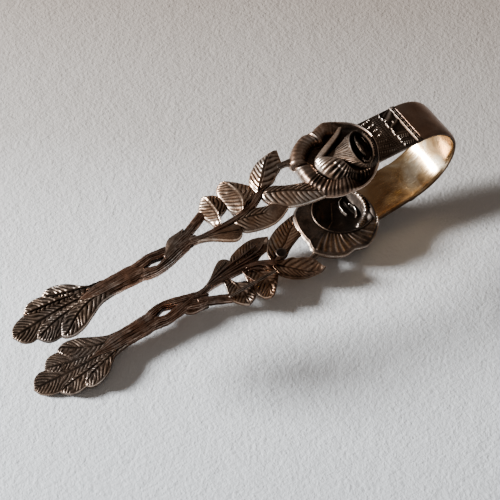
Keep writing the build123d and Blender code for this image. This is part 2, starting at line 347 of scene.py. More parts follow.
# leaves of the openwork, edge to edge, bowed on their outer faces and hollow behind
vine_leaves = {
    "small_leaf": leaf(
        [(50.0, 0.2), (48.9, 1.2), (48.6, 2.6), (48.1, 4.2), (47.7, 5.7), (48.4, 7.1), (49.4, 8.3)],
        [(50.2, 0.2), (50.8, 1.8), (51.2, 3.5), (51.3, 6.0), (51.1, 8.0), (50.7, 9.3)],
        [(50.4, 0.2), (50.9, 1.7), (51.8, 2.9), (53.0, 3.3), (54.0, 4.0), (54.3, 5.2), (54.0, 6.8),
         (53.2, 8.1), (51.9, 8.9)],
        6, half=0.6, roof=1.0, hollow=0.6, pitch=(0.85, 1.25), groove=0, keel=0.2,
        slant=(0.6, 1.2), height=(0.13, 0.22), shine=(0.2, 0.07)),
    "upright_leaf": leaf(
        [(54.9, 0.4), (54.3, 1.4), (53.8, 2.6), (53.6, 4.0), (53.5, 5.4), (53.6, 7.0), (54.0, 8.6),
         (54.8, 9.6)],
        [(56.0, 0.6), (57.0, 2.2), (57.6, 3.8), (57.7, 5.5), (57.4, 7.2), (56.8, 8.8),
         (56.1, 10.1)],
        [(56.4, 0.6), (58.3, 1.9), (59.9, 2.4), (60.8, 3.5), (61.0, 5.3), (60.3, 6.5), (59.3, 7.7),
         (57.9, 9.2), (57.0, 9.9)],
        7, half=0.6, roof=1.05, hollow=0.6, pitch=(0.9, 1.35), groove=0, keel=0.2,
        slant=(0.6, 1.2), height=(0.13, 0.24), lift=0.1, shine=(0.14, 0.09)),
    "long_leaf": leaf(
        [(52.6, -0.9), (52.9, -2.6), (53.9, -3.9), (55.6, -4.7), (57.6, -5.3), (60, -5.6),
         (62.2, -5.2)],
        [(52.7, -0.5), (54.6, -0.8), (56.6, -1.4), (58.6, -2.2), (60.7, -3.0), (62.4, -3.6),
         (64.6, -4.1)],
        [(52.8, 0.0), (55.4, 0.3), (57.4, 0.5), (59.0, 0.1), (60.6, -0.6), (62.2, -1.0),
         (63.6, -2.2)],
        8, half=0.65, roof=0.6, hollow=0.6, pitch=(1.1, 1.2), slant=(1.2, 1.3), groove=0.24,
        bare=0.35, height=0.16, drift=0.14, shine=(0.06, 0.06)),
    "shoulder_leaf": leaf(
        [(61.6, 2.6), (64.0, 3.2), (65.8, 3.5), (67.2, 4.5), (68.6, 5.2), (69.8, 6.2), (70.3, 7.4)],
        [(61.2, 2.7), (62.9, 4.3), (64.5, 5.8), (66.0, 7.5), (67.5, 8.9), (69.2, 9.8),
         (71.1, 10.0)],
        [(60.8, 2.8), (60.8, 4.6), (61.0, 6.2), (61.9, 7.5), (63.3, 8.8), (65.3, 9.9),
         (67.7, 10.4), (69.6, 10.5)],
        9, half=0.65, roof=0.95, hollow=0.85, pitch=(1.6, 1.15), slant=(1.1, 1.25),
        height=(0.16, 0.3), groove=0.3, lift=0.05, bare=0.12, drift=0.07, shine=(0.1, 0.28)),
    "under_leaf": leaf(
        [(61.2, 2.2), (61.4, 0.4), (62.2, -1.2), (63.5, -2.7), (65.2, -4.0), (67.4, -5.0),
         (70, -5.7), (72.6, -6.2)],
        [(61.8, 2.3), (63.2, 1.3), (65.6, 0.1), (67.5, -1.0), (69.2, -2.4), (71.2, -3.8),
         (75.2, -6.4)],
        [(62.2, 2.6), (63.7, 3.0), (65.2, 2.8), (66.6, 1.8), (68.2, 0.9), (70.2, 0.0),
         (72.2, -1.2)],
        10, half=0.65, roof=0.8, hollow=0.7, pitch=(1.15, 1.3), slant=(1.0, 1.4), groove=0.26,
        lift=-0.05, shine=(0.14, 0.04), height=(0.18, 0.22), drift=0.14),
}

# smooth closed bud, fat at its end, with soft streaks along it
bud = leaf(
    [(43.6, 0.1), (45.4, -0.6), (47.2, -1.7), (48.9, -3.1), (50.3, -4.1), (51.4, -4.5),
     (52.6, -4.1)],
    [(43.6, 0.5), (46.4, -0.4), (49.0, -1.6), (51.4, -2.6), (53.3, -3.2)],
    [(43.6, 0.9), (46.5, 0.2), (49.0, -0.2), (51.5, -0.4), (53.2, -0.7), (53.8, -1.8)],
    15, half=0.7, roof=0.85, hollow=0.3, height=0.05, pitch=1.3, slant=3.2, groove=0.03, rim=0.1,
    shine=0.02)

# small pointed leaf that grows off the stem beside the slot
bract = leaf(
    [(35.6, 0.5), (37.0, 0.6), (39.0, 1.2), (40.6, 2.1), (42.0, 3.3)],
    [(35.7, 0.7), (37.4, 1.6), (39.4, 2.6), (41.2, 3.6), (43.0, 4.4)],
    [(35.8, 0.9), (36.8, 2.0), (37.9, 3.5), (39.2, 4.2), (41.2, 4.3)],
    16, half=0.55, lift=0.75, roof=0.35, hollow=0.0, height=0.0, groove=0.0, rim=0.16, bare=1.0,
    shine=0.05, n=70, m=30)


# ---- wood ----
def strand(route, widths, heights, seed, fibres=0.05, count=15, flat=0.8, shine=0.0, dark=0,
           n=140, m=84):
    """Fibrous twig along a route of (x, y, z); widths and heights are given at its points.

    Its ends are rounded off. dark is +1 or -1 for painted shade on the left or right side, a wall
    of the slot lying in shadow.
    """
    rng = np.random.default_rng(seed)
    path = spline(route, n)
    u = np.linspace(0, 1, n)
    blunt = np.sqrt(np.clip(1 - np.abs(2 * u - 1) ** 30, 0.0004, 1))
    width = np.interp(u, np.linspace(0, 1, len(widths)), widths) / 2 * blunt
    height = np.interp(u, np.linspace(0, 1, len(heights)), heights) / 2 * blunt
    heading = np.gradient(path[:, :2], axis=0)
    normal = np.c_[-heading[:, 1], heading[:, 0]]
    normal /= np.hypot(normal[:, 0], normal[:, 1])[:, None]

    # section: a rounded oblong, its points evenly spaced along its outline
    fine = np.linspace(0, 2 * math.pi, 2001)
    oblong = np.array([1.6 * np.cos(fine), np.sin(fine)])
    oblong = np.sign(oblong) * np.abs(oblong) ** flat
    run = np.r_[0, np.cumsum(np.hypot(*np.diff(oblong, axis=1)))]
    around = np.arange(m) / m
    phi = np.interp(around, run / run[-1], fine)[None, :]
    turn = 2 * math.pi * around[None, :]

    bark = np.zeros((n, m))
    for turns, size in ((count, 1.0), (count * 2 - 3, 0.55), (5, 0.7)):
        drift = wander(n, 14, 0.7, rng)[:, None]
        swell = 1 + 0.5 * wander(n, 16, 1.0, rng)[:, None]
        bark += size * swell * np.cos(turns * turn + drift + rng.uniform(0, 6))
    bark /= 2.0
    knots = wander(n, 22, 0.02, rng)[:, None]
    c, t = np.cos(phi), np.sin(phi)
    r = 1 + fibres * bark * (0.2 + 0.8 * np.abs(t)) + knots
    flecks = smooth(bark, 0.3, 0.8) * np.clip(wander(n, 44, 1.0, rng), 0, 1.5)[:, None]
    # painted shade: the side picked by dark is darkened, as a wall of the slot in shadow
    slot_wall_shade = smooth(dark * c, 0.7, 0.95)
    wear = 0.40 + shine + 0.28 * bark + 0.26 * flecks * (fibres > 0.08) - 0.36 * slot_wall_shade
    c, t = np.sign(c) * np.abs(c) ** flat, np.sign(t) * np.abs(t) ** flat
    plan = path[:, None, :2] + normal[:, None, :] * (width[:, None] * c * r)[:, :, None]
    z = path[:, 2:3] + height[:, None] * t * r
    return np.dstack([plan, z]), np.clip(wear, 0, 1)


def bundle(*strands):
    """Shell of one or more strands."""
    shell = Shell()
    for loops, wear in strands:
        shell.rings(loops, wear)
    return shell


def stem_shell():
    """Stem: one fibrous body from the claw, parted round the slot, then twisted together."""
    root = strand(
        [(13.6, 2.4, -0.5), (16.6, 2.15, -0.05), (19.6, 1.85, 0), (22.0, 1.7, 0),
         (25.0, 1.6, 0), (28.0, 1.4, 0), (30.0, 1.2, 0), (31.2, 1.05, 0)],
        [0.2, 1.7, 3.9, 4.2, 4.3, 4.6, 4.2, 2.4], [0.2, 1.4, 2.0, 2.3, 2.4, 2.4, 2.2, 1.5],
        11, fibres=0.13, count=17, flat=0.7, n=200, m=128)
    # the strands either side of the slot take painted shade on the walls that face into it
    far_side = strand(
        [(26.5, 2.2, -0.1), (29.0, 2.45, 0), (31.0, 2.42, 0), (33.2, 2.7, 0.05),
         (35.8, 2.22, 0.05), (38.5, 1.7, 0), (41.5, 1.05, 0), (45.0, 0.6, 0)],
        [0.4, 2.0, 2.75, 2.1, 2.35, 2.3, 2.1, 0.8], [0.3, 1.9, 2.35, 2.4, 2.4, 2.4, 2.2, 0.8],
        12, fibres=0.13, dark=-1, m=96)
    near_side = strand(
        [(26.5, 0.6, -0.1), (29.0, 0.2, 0), (31.0, -0.2, 0), (33.5, -0.7, 0),
         (36.0, -0.25, 0), (38.8, 0.45, 0), (41.5, 1.1, 0), (44.6, 2.0, 0)],
        [0.4, 1.9, 2.4, 1.85, 2.35, 2.5, 2.4, 0.6], [0.3, 1.9, 2.35, 2.4, 2.4, 2.4, 2.3, 0.8],
        13, fibres=0.13, dark=1, m=96)
    fork = strand(
        [(35.9, 1.35, -0.4), (38.0, 1.8, 0.1), (40.8, 2.6, 0.15), (43.0, 3.2, 0),
         (44.6, 3.7, -0.2)],
        [0.3, 2.2, 2.6, 2.3, 0.6], [0.4, 2.2, 2.4, 2.2, 0.8], 14, fibres=0.11)
    return bundle(root, far_side, near_side, fork)


def vine_shell():
    """Twig along the openwork, with the thin strands and a dull bar behind the leaves."""
    shell = bundle(strand(
        [(42.0, 1.2, 0), (45.5, 0.55, 0), (50, 0.3, 0.1), (55, 0.3, 0.15), (58.2, 0.9, 0.1),
         (60.4, 2.0, 0.05), (62.2, 3.3, 0)],
        [2.0, 1.4, 1.3, 1.3, 1.4, 1.6, 1.8], [2.0, 1.9, 2.0, 2.0, 2.0, 2.1, 1.9], 21))
    bar = strand(
        [(47.6, 5.5, -0.9), (50.5, 5.4, -1.05), (54.0, 5.35, -1.1), (57.5, 5.3, -1.1),
         (60.9, 5.2, -1.0)],
        [0.5, 0.8, 0.8, 0.8, 0.6], [0.5, 0.7, 0.7, 0.7, 0.5], 20, fibres=0.03, count=5, n=70,
        m=20)
    shell.rings(*bar, inner_from=0)
    behind = (
        ([(55.2, 0.8, -0.7), (57.0, 1.1, -0.7), (58.5, 1.7, -0.7), (59.5, 2.6, -0.65),
          (59.9, 3.8, -0.5)], 0.5),
        ([(55.3, 1.6, -0.5), (56.9, 1.9, -0.6), (58.1, 2.6, -0.6), (58.9, 3.6, -0.5)], 0.4),
        ([(54.2, 1.0, -0.5), (54.1, 2.3, -0.55), (54.6, 3.6, -0.6), (55.2, 5.2, -0.6)], 0.35),
        ([(43.5, 0.9, -0.8), (49.0, -0.4, -0.75), (55.0, -1.1, -0.65), (60.0, -1.7, -0.6),
          (62.6, -2.9, -0.5)], 0.4),
        ([(45.0, 0.0, -0.7), (50.5, -1.5, -0.7), (56.0, -2.5, -0.6), (61.0, -3.4, -0.5)], 0.4),
        ([(46.5, 0.1, -0.85), (52.0, -0.3, -0.8), (57.5, -0.6, -0.6), (60.0, -0.7, -0.5)], 0.35))
    for k, (route, width) in enumerate(behind):
        shell.rings(*strand(route, [width * 0.6, width, width, width * 0.6],
                            [0.5, 0.7, 0.7, 0.5], 22 + k, fibres=0.06, count=5, shine=0.06,
                            n=70, m=16))
    return shell


far_twig = strand([(41.0, 2.6, 0), (43.4, 3.4, 0), (46.0, 4.5, 0), (48.6, 5.7, 0)],
                  [2.4, 2.1, 2.2, 2.2], [2.3, 2.2, 2.1, 1.7], 31)
rose_twig = strand([(68.3, 6.2, 0.3), (70.2, 6.0, 0.35), (72.0, 5.5, 0.4), (74.0, 4.8, 0.5)],
                   [1.4, 1.5, 1.8, 2.1], [1.3, 1.3, 1.4, 1.4], 41, n=50)


def cast_pad():
    """Round pad on the inner face, almost flat: rings of a radius, a height and a wear."""
    rings = ((1.35, -0.3, 0.2), (1.36, -0.7, 0.25), (1.3, -0.86, 0.4), (1.18, -0.9, 0.42),
             (1.0, -0.84, 0.2), (0.5, -0.78, 0.14))
    phi = np.linspace(0, 2 * math.pi, 40, endpoint=False)
    uneven = 1 + 0.03 * np.cos(3 * phi + 1)
    loops = [np.c_[64.5 + radius * uneven * np.cos(phi), 1.6 + radius * uneven * np.sin(phi),
                   np.full(len(phi), z)] for radius, z, _ in rings]
    return np.array(loops), np.array([[worn] * len(phi) for _, _, worn in rings])


# ---- rose ----
# outline of the rose: radius in each direction from its centre, in degrees
OUTLINE_TURN = (-180, -157, -142, -125, -105, -85, -55, -25, 10, 32, 52, 77, 97, 113, 130, 146,
                156, 167, 180)
OUTLINE_RADIUS = (9.6, 9.9, 10.3, 9.9, 9.3, 9.4, 9.2, 9.2, 9.9, 10.0, 9.75, 9.95, 8.95, 10.1,
                  10.5, 10.8, 11.0, 9.7, 9.6)
CUP = ((3.2, -1.6), (7.8, 6.7))       # hollow back of the rose: its middle and its radii
MOUTH = ((4.8, -2.1), (2.5, 4.7))     # opening of the bud
MOUTH_LEAN = math.radians(-18)
ROLL_HALF_WIDTH = 2.05                # half the breadth of the rolled outer petals
LOW_FACE = -0.55                      # height of the rose's inner face beside its hollow


def angle_gap(theta, centre):
    """Signed angle from centre to theta, in degrees."""
    return (np.degrees(theta) - centre + 180) % 360 - 180


def cup_reach(p, q):
    """0 in the middle of the hollow back, 1 at its lip."""
    return np.hypot((p - CUP[0][0]) / CUP[1][0], (q - CUP[0][1]) / CUP[1][1])


def cup_ceiling(p, q):
    """Height of the hollow back's surface."""
    d = cup_reach(p, q)
    return LOW_FACE + 2.0 * np.sqrt(np.clip(1 - d ** 3, 0, 1))


def rose_dish():
    """Outer petals: two ribbed rolls on the claw side, a low dish to the bow, a cup behind."""
    turns, steps = 480, 96
    theta = np.linspace(0, 2 * math.pi, turns, endpoint=False)[None, :]
    rho = np.linspace(0.02, 1, steps)[:, None] ** 0.7
    degrees = angle_gap(theta, 0)
    radius = np.interp(degrees, OUTLINE_TURN, OUTLINE_RADIUS)
    radius = np.convolve(np.tile(radius[0], 3), np.ones(9) / 9, "same")[turns:2 * turns][None]
    p = rho * radius * np.cos(theta)
    q = rho * radius * np.sin(theta)

    # outer face: fat is 1 on the rolled petals, 0 on the low dish; near is their near half
    fat = smooth(np.abs(angle_gap(theta, 163)), 116, 82)
    near = smooth(degrees, -178, -150) * (1 - smooth(degrees, -70, -50))
    ridge = (radius - rho * radius) / ROLL_HALF_WIDTH - 1
    roll = np.sqrt(np.clip(1 - np.abs(ridge) ** 3, 0, 1))
    dish = 1.75 - 1.45 * smooth(rho, 0.55, 0.93) + 0.34 * hump(rho, 0.98, 0.018)
    out = fat * (2.5 * roll - 0.05) + (1 - fat) * dish
    lines = np.cos(56 * theta + 2.6 * np.sin(3 * theta) + 0.9 * np.sin(11 * theta) + 4.5 * rho)
    left_end = hump(angle_gap(theta, -160), 0, 22)
    strong = np.clip(0.3 + 0.55 * near + 0.3 * np.sin(7 * theta + 1) + 0.6 * left_end, 0.15, 1.2)
    ribbed = fat * smooth(roll, 0.1, 0.6) * strong * (0.8 + 0.35 * np.sin(19 * theta + 6 * rho))
    out += 0.11 * lines * ribbed
    turn_in = angle_gap(theta, 161 + 9 * (1 - rho))
    cleft = hump(turn_in, 0, 2.0) * smooth(rho, 0.5, 0.72)
    lap = smooth(turn_in, 0, 9) * (1 - smooth(turn_in, 9, 60))
    seam = hump(angle_gap(theta, 104 + 10 * (rho - 0.8)), 0, 2.2)
    out -= fat * (cleft + (0.3 * lap + 0.35 * seam) * roll)
    folds = np.sin(9 * theta + 14 * rho) * hump(rho, 0.8, 0.1) * (1 - fat)
    out += 0.06 * folds

    # inner face: its hollow, the flat towards the bow, and a lip round the hollow
    d = cup_reach(p, q)
    in_cup = d < 1
    inner = np.where(in_cup, cup_ceiling(p, q), LOW_FACE)
    shelf = smooth(p, 6.3, 8.0) * (1 - smooth(np.abs(q), 5.4, 6.2))
    inner += (-0.5 - inner) * shelf
    # the petals' backs, as lines over the hollow
    outer_petal = [(3.9, 3.6), (5.7, 2.8), (7.2, 1.4), (8.2, -0.4), (8.5, -2.4), (8.2, -4.4)]
    small_petal = [(5.2, 0.9), (6.0, -0.4), (6.2, -1.6), (5.7, -2.9)]
    mouth_line = [(3.5, -0.7), (3.2, -1.9), (3.4, -3.4), (4.0, -4.7), (5.2, -5.2)]
    crease = [(-2.8, 0.6), (-0.8, -0.7), (0.7, -2.9), (2.2, -5.4)]
    petal = hump(line_gap(p, q, outer_petal), 0, 0.62) * in_cup
    small = hump(line_gap(p, q, small_petal), 0, 0.24) * in_cup
    mouth = hump(line_gap(p, q, mouth_line), 0, 0.18) * in_cup
    fold = hump(line_gap(p, q, crease), 0, 0.13) * in_cup
    hatch = 0.5 + 0.5 * np.cos(60 * theta)
    lip = hump(d, 1.0, 0.022) * (1 - shelf)
    inner -= petal * (0.8 + 0.14 * hatch) + 0.8 * small + 0.6 * mouth + 0.18 * fold + 0.3 * lip
    fringe = smooth(d, 1.03, 1.1)
    slanted = theta + 0.25 * rho
    pleats = (0.5 + 0.5 * np.cos(40 * slanted + 1.5 * np.sin(2 * theta))) ** 3
    pleats *= 0.75 + 0.35 * np.sin(13 * theta) + 0.3 * np.cos(23 * theta + 9 * rho)
    pleats *= fringe * (1 - smooth(rho, 0.92, 0.96)) * smooth(q, 0.5, 3.5)
    inner -= 0.16 * pleats
    raised = smooth(rho, 0.93, 1.0)
    at_bow = smooth(p, 5.5, 6.6) * (1 - smooth(np.abs(q), 5.6, 6.6))
    inner += (0.1 - inner) * raised * (1 - at_bow)
    hem = smooth(rho, 0.944, 0.958) * at_bow
    beads = 0.5 + 0.5 * np.cos(88 * theta)
    inner += (-0.85 - inner) * hem * (1 - 0.25 * smooth(rho, 0.97, 1.0)) - 0.2 * beads * hem
    out = np.maximum(out, inner + 0.4)

    # wear of both faces, with painted shade on the rolls' near half and left end
    rim_wear_and_near_shade = 0.2 * smooth(rho, 0.982, 0.995) - 0.1 * smooth(ridge, 0.25, 0.75)
    # painted shade: the near half of the rolls, most towards their outer edge, is darkened against
    # the floor's reflection
    rim_wear_and_near_shade -= near * (0.08 + 0.16 * smooth(rho, 0.82, 0.93))
    wear_out = 0.36 + 0.22 * lines * ribbed + fat * (0.1 * roll + rim_wear_and_near_shade) - 0.4 * cleft
    # painted shade: the left end of the rolls, short of the rim, is darkened to narrow its
    # highlight
    wear_out -= 0.34 * left_end * (1 - smooth(rho, 0.88, 0.95))
    wear_out += (1 - fat) * (0.55 * smooth(rho, 0.962, 0.975) - 0.2 * (rho < 0.95))
    wear_out += 0.12 * folds
    wear_in = 0.10 + 0.4 * lip + 0.24 * pleats + 0.18 * fringe + 0.4 * smooth(rho, 0.975, 0.99)
    wear_in += petal * (0.24 + 0.34 * hatch) + 0.75 * small + 0.6 * mouth + 0.3 * fold
    wear_in += hem * (0.1 + 0.4 * beads) - 0.05 * shelf * (1 - hem)
    rim_mid = (out[-1:] + inner[-1:]) / 2
    edge = 1 + 0.1 / radius
    rows = [np.dstack([p, q, out]), np.dstack([p[-1:] * edge, q[-1:] * edge, rim_mid]),
            np.dstack([p, q, inner])[::-1]]
    wear = [wear_out, np.full((1, turns), 0.7), wear_in[::-1]]
    wear = np.clip(np.concatenate(wear), 0, 1)
    return Shell().rings(np.concatenate(rows), wear, second_ring=steps)


def folded_petal():
    """Petal folded to a V round the bud: ribbed on the near side, a plain band on the far."""
    inner_line = [(3.6, -6.9, 1.6), (1.8, -6.7, 2.2), (0.3, -6.1, 2.8), (-0.2, -4.8, 3.3),
                  (-0.6, -3.2, 3.6), (-1.4, -1.6, 3.85), (-2.8, -0.3, 3.95), (-3.9, 0.6, 4.0),
                  (-2.2, 1.2, 3.85), (0.4, 2.3, 3.7), (2.5, 3.4, 3.5), (4.4, 4.9, 3.0)]
    outer_line = [(4.2, -7.6, 1.0), (2.0, -8.1, 1.1), (-0.2, -8.0, 1.3), (-2.4, -7.1, 1.5),
                  (-4.2, -4.9, 2.0), (-5.3, -2.6, 2.3), (-5.9, -0.4, 2.6), (-5.3, 1.4, 2.9),
                  (-3.5, 2.4, 3.0), (-1.0, 3.4, 2.95), (1.5, 4.4, 2.75), (3.8, 5.6, 2.3)]
    n, m = 300, 36
    a, b = spline(inner_line, n)[:, None, :], spline(outer_line, n)[:, None, :]
    v = np.linspace(0, 1, m)[None, :, None]
    u = np.linspace(0, 1, n)[:, None]
    top = a + (b - a) * v
    across = v[..., 0]
    near = 1 - smooth(u, 0.60, 0.66)
    tail = 1 - smooth(u, 0.2, 0.42)
    bulge = (0.55 - 0.3 * tail) * near + 0.1 * (1 - near)
    bars = np.cos(2 * math.pi * (27 * u - 1.1 * across + 0.35 * np.sin(23 * u)))
    bars *= 0.7 + 0.3 * np.sin(61 * u + 5 * across)
    belt = np.clip(np.sin(math.pi * np.clip(across, 0.02, 0.98)), 0, 1) ** 0.5
    strong = np.clip(0.75 + 0.5 * np.sin(17 * u + 1), 0.25, 1.2)
    step = 0.42 + 0.1 * np.sin(26 * u) - 0.15 * tail
    second = smooth(across, step, step + 0.05) * (1 - smooth(u, 0.38, 0.52))
    ribbed = bars * near * belt * strong
    top[..., 2] += bulge * np.sin(math.pi * across) + 0.19 * ribbed - 0.35 * second
    top[..., 2] -= 0.3 * smooth(across, 0.85, 1.0) + 0.1 * (1 - smooth(across, 0, 0.08))
    low_b, low_a = b.copy(), a + (a - b) * [0.06, 0.06, 0]
    for low in (low_b, low_a):
        low[..., 2] = np.maximum(cup_ceiling(low[..., 0], low[..., 1]), -0.3) + 0.25
    loops = np.concatenate([top, low_b, low_a], axis=1)
    wear = 0.28 + 0.36 * ribbed + 0.25 * hump(across, 0.04, 0.05)
    wear += 0.62 * hump(u, 0.58, 0.12) - 0.16 * second - 0.06 * tail
    wear += (1 - near) * (0.16 - 0.22 * smooth(np.abs(across - 0.5), 0.32, 0.47))
    flat = np.full((n, 2), 0.08)
    return Shell().rings(loops, np.clip(np.concatenate([wear, flat], axis=1), 0, 1))


def bud_petals():
    """Bud lying to the bow: a fluted cone from its point up to the lip of a dark mouth."""
    n, m = 60, 320
    psi = np.linspace(0, 2 * math.pi, m, endpoint=False)[None, :]
    ex, ey = MOUTH[1][0] * np.cos(psi), MOUTH[1][1] * np.sin(psi)
    c, s = math.cos(MOUTH_LEAN), math.sin(MOUTH_LEAN)
    rim_p = MOUTH[0][0] + ex * c - ey * s
    rim_q = MOUTH[0][1] + ex * s + ey * c
    ragged = 0.07 * np.sin(5 * psi + 0.6) + 0.05 * np.sin(11 * psi)
    rim_z = 3.3 - 0.27 * ex - 0.014 * ey ** 2 + ragged
    face = hump(angle_gap(psi, 172), 0, 62)
    base_p = rim_p + 1.1 * np.cos(psi)
    base_q = rim_q + 0.7 * np.sin(psi)
    gather = np.clip(face * 1.15, 0, 0.94)
    base_p += (-3.2 - base_p) * gather
    base_q += (0.8 - base_q) * gather
    ground = np.maximum(cup_ceiling(base_p, base_q), -0.3) + 0.25
    base_z = np.maximum(ground, 2.5 * gather)
    k = np.linspace(0, 1, n)[:, None]
    steep = 2.4 - 1.5 * face
    flutes = np.cos(42 * psi + 1.6 * np.sin(5 * psi) + 0.5 * np.sin(17 * psi))
    flutes = flutes * smooth(k, 0.03, 0.12) * (1 - k) ** 0.4 * (0.7 + 0.3 * np.sin(9 * psi + 5 * k))
    wall = np.dstack([rim_p + (base_p - rim_p) * k, rim_q + (base_q - rim_q) * k,
                      rim_z + (base_z - rim_z) * k ** steep + 0.1 * flutes])
    # rings down inside the mouth: how near the lip, how deep, how worn
    pull, depth, worn = np.array([
        (0.04, 1.75, 0.03), (0.3, 1.75, 0.04), (0.55, 1.65, 0.05), (0.72, 1.35, 0.07),
        (0.82, 0.95, 0.1), (0.88, 0.5, 0.16), (0.93, 0.14, 0.28), (0.97, 0.0, 0.5)]).T[:, :, None]
    mouth = np.dstack([MOUTH[0][0] + (rim_p - MOUTH[0][0]) * pull,
                       MOUTH[0][1] + (rim_q - MOUTH[0][1]) * pull, rim_z - depth])
    # painted light: the bud's side facing the claws and the window is lighter, the side towards the
    # bow darker, outside and down in the mouth
    wear = (0.34 + 0.26 * flutes + 0.2 * (1 - smooth(k, 0, 0.05))) * (0.5 + 0.6 * face)
    wear = np.concatenate([worn * (0.35 + 0.65 * face), wear])
    return Shell().rings(np.concatenate([mouth, wall]), np.clip(wear, 0, 1))


def rose_heart():
    """Innermost petals, thin curled walls that stand in the bud's mouth."""
    petals = (
        ([(5.6, 1.5, 2.3), (4.9, 0.6, 2.6), (4.5, -1.0, 2.7), (4.3, -2.8, 2.6), (4.5, -4.4, 2.3)],
         [0.5, 0.8, 0.95, 0.8, 0.5], 1.5, -0.24),
        ([(6.3, 1.2, 1.9), (6.7, -0.2, 2.0), (6.6, -1.9, 1.9), (6.1, -3.3, 1.8)],
         [0.3, 0.45, 0.45, 0.3], 1.0, -0.34),
        ([(3.2, -4.4, 2.6), (3.4, -5.6, 2.5), (4.4, -5.9, 2.2), (5.4, -5.0, 1.9)],
         [0.4, 0.6, 0.6, 0.4], 1.2, -0.05))
    return bundle(*[
        strand(route, widths, [height * 0.7, height, height, height * 0.7], 51 + k, shine=shine,
               n=60, m=24)
        for k, (route, widths, height, shine) in enumerate(petals)])


# ---- strap and bow ----
STRAP_TUCK = 9.3                      # radius at which the strap starts under the rose's rim


def strap_relief(x, y):
    """Height and wear of the strap's outer face: beadwork, a wavy ridge, then foliage."""
    wave = 95.3 + 0.13 * np.sin(2.3 * y + 1.2) + 0.08 * np.sin(5.2 * y)
    beyond = smooth(x, wave + 0.15, wave + 0.35) * (1 - smooth(x, 98.3, 98.45))
    before = 1 - smooth(x, wave - 0.5, wave - 0.3)
    row = (y - 0.1) / 1.55 + 0.16 * (x - 91.5) * np.where(y > -0.4, -1.0, 1.0)
    rest = row - np.round(row)
    along = (x - 90.3 - np.where(y > -0.4, 0.0, 0.9) * rest) / 0.56
    uneven = 0.75 + 0.25 * np.sin(7.1 * x + 3.3 * y) * np.sin(4.3 * y)
    bead_row = hump(rest, 0, 0.24) * (1 - smooth(x, 92.8, 93.2))
    beads = bead_row * (0.5 + 0.5 * np.cos(2 * math.pi * along)) ** 0.8 * uneven
    between = hump(np.abs(rest), 0.5, 0.09) * (1 - smooth(x, 92.8, 93.2))
    ladder = (0.5 + 0.5 * np.cos(2 * math.pi * y / 0.52)) * np.maximum(
        hump(x, 93.6, 0.3), 0.8 * hump(x, 94.4, 0.25))
    frame_lines = np.maximum(hump(x, 93.05, 0.1), 0.6 * hump(x, 94.85, 0.1))
    work = np.maximum.reduce([0.35 * bead_row, beads, 0.3 * between, 0.4 * ladder,
                              0.3 * frame_lines])
    height = 0.5 * work * before
    wear = (0.27 + 0.6 * beads + 0.2 * between + 0.32 * ladder + 0.18 * frame_lines) * before
    ridge = hump(x, wave, 0.15)
    height += 0.42 * ridge
    wear = np.maximum(wear, 0.75 * ridge)
    foliage = (
        ([(95.7, 2.8), (97.0, 3.5), (98.4, 4.6)], 0.42, 1.0),
        ([(96.2, 4.3), (97.2, 4.9), (98.2, 5.2)], 0.2, 0.5),
        ([(95.5, 0.5), (96.3, 1.2), (97.2, 1.4), (98.4, 2.0)], 0.24, 0.9),
        ([(96.9, 1.4), (97.1, 2.1)], 0.16, 0.8),
        ([(95.4, -1.2), (96.6, -1.4), (97.9, -1.8)], 0.16, 0.5),
        ([(95.4, -3.4), (96.8, -3.6), (98.0, -4.2)], 0.14, 0.35))
    leaves = np.zeros(x.shape)
    for points, width, size in foliage:
        leaves = np.maximum(leaves, size * hump(line_gap(x, y, points), 0, width))
    for start in (-2.0, -4.1):
        for k in range(5):
            px = 95.6 + 0.52 * k
            py = start - 0.12 * k
            tooth = [(px + 0.3, py), (px - 0.1, py - 0.7)]
            leaves = np.maximum(leaves, (0.9 - 0.12 * k) * hump(line_gap(x, y, tooth), 0, 0.15))
    height += 0.36 * leaves * beyond
    wear = np.maximum(wear, (0.24 + 0.46 * leaves) * beyond)
    border = smooth(np.abs(y), 5.1, 5.35)
    height = height * (1 - border) + 0.22 * border
    return height, np.clip(wear * (1 - border) + 0.3 * border, 0, 1)


def inside_wear(y):
    """Wear over the width of the polished inner face: bright, with dark edges."""
    return 0.9 - 0.75 * smooth(np.abs(y), STRAP_WIDTH / 2 - 0.3, STRAP_WIDTH / 2 - 0.05)


def tilt_to_strap(points):
    """Put a strip that lies along x on the slope of the strap."""
    out = np.array(points, float)
    out[:, 2] += BOW_RADIUS * math.cos(BOW_SPLAY) - (out[:, 0] - BOW_START_X) * math.tan(BOW_SPLAY)
    return out


